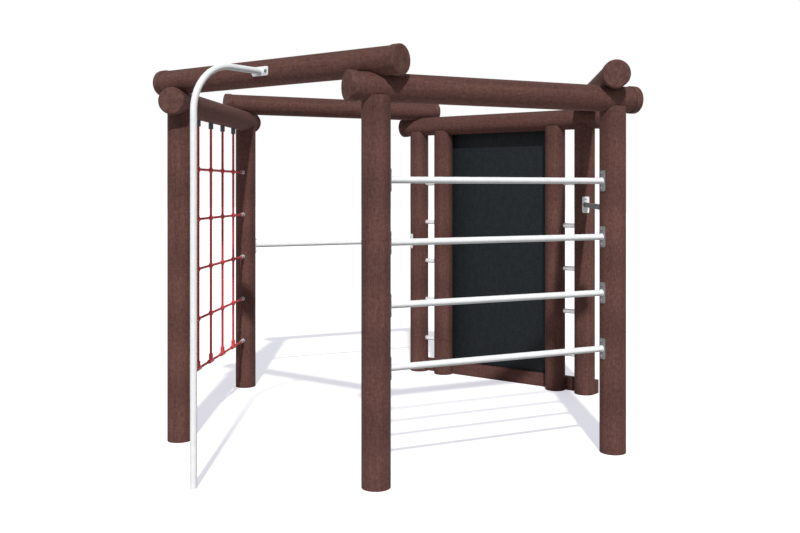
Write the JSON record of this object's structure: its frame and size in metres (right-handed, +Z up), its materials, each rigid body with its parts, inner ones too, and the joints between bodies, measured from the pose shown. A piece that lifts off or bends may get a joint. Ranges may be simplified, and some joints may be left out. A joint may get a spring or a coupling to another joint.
{
  "type": "climbing frame",
  "caption": "Hexagonal climbing frame of round timber logs with climbing bars, a rope net, a board wall with short rungs beside it and a sliding pole.",
  "frame": {"origin": "on the ground, at the centre of the bounding box seen from above", "axes": "+Z up; -Y towards the side with the sliding pole and +Y towards the wall; +X towards the side with the climbing bars"},
  "size_m": [3.903, 3.9686, 2.6855],
  "materials": {
    "log_timber": "weathered brown stain on round logs",
    "rail_timber": "brown stain on sawn timber",
    "galvanised_steel": "dull galvanised",
    "wall_board": "near black with a faint grain",
    "net_rope": "red laid rope with red moulded connectors",
    "net_ferrule": "dark grey"
  },
  "bodies": {
    "root": {"corner_post_a": "log_timber", "corner_post_b": "log_timber", "corner_post_c": "log_timber", "corner_post_d": "log_timber", "corner_post_e": "log_timber", "corner_post_f": "log_timber", "wall_post_g": "log_timber", "wall_post_h": "log_timber", "lower_beam_bc": "log_timber", "lower_beam_de": "log_timber", "lower_beam_fa": "log_timber", "upper_beam_ab": "log_timber", "upper_beam_cd": "log_timber", "upper_beam_ef": "log_timber", "climbing_bar_1": "galvanised_steel", "climbing_bar_2": "galvanised_steel", "climbing_bar_3": "galvanised_steel", "climbing_bar_4": "galvanised_steel", "high_bar": "galvanised_steel", "low_bar": "galvanised_steel", "sliding_pole": "galvanised_steel", "rung_d_1": "galvanised_steel", "rung_d_2": "galvanised_steel", "rung_d_3": "galvanised_steel", "rung_d_4": "galvanised_steel", "rung_d_5": "galvanised_steel", "rung_e_1": "galvanised_steel", "rung_e_2": "galvanised_steel", "rung_e_3": "galvanised_steel", "rung_e_4": "galvanised_steel", "rung_e_5": "galvanised_steel", "bottom_rail": "rail_timber", "wall_panel": "wall_board", "net_upright_1": "net_rope", "net_upright_2": "net_rope", "net_upright_3": "net_rope", "net_upright_4": "net_rope", "net_level_1": "net_rope", "net_level_2": "net_rope", "net_level_3": "net_rope", "net_level_4": "net_rope", "net_level_5": "net_rope", "net_ferrule_1": "net_ferrule", "net_ferrule_2": "net_ferrule", "net_ferrule_3": "net_ferrule", "net_ferrule_4": "net_ferrule", "rope_socket_a_1": "galvanised_steel", "rope_socket_a_2": "galvanised_steel", "rope_socket_a_3": "galvanised_steel", "rope_socket_a_4": "galvanised_steel", "rope_socket_a_5": "galvanised_steel", "rope_socket_f_1": "galvanised_steel", "rope_socket_f_2": "galvanised_steel", "rope_socket_f_3": "galvanised_steel", "rope_socket_f_4": "galvanised_steel", "rope_socket_f_5": "galvanised_steel"}
  },
  "joints": []
}
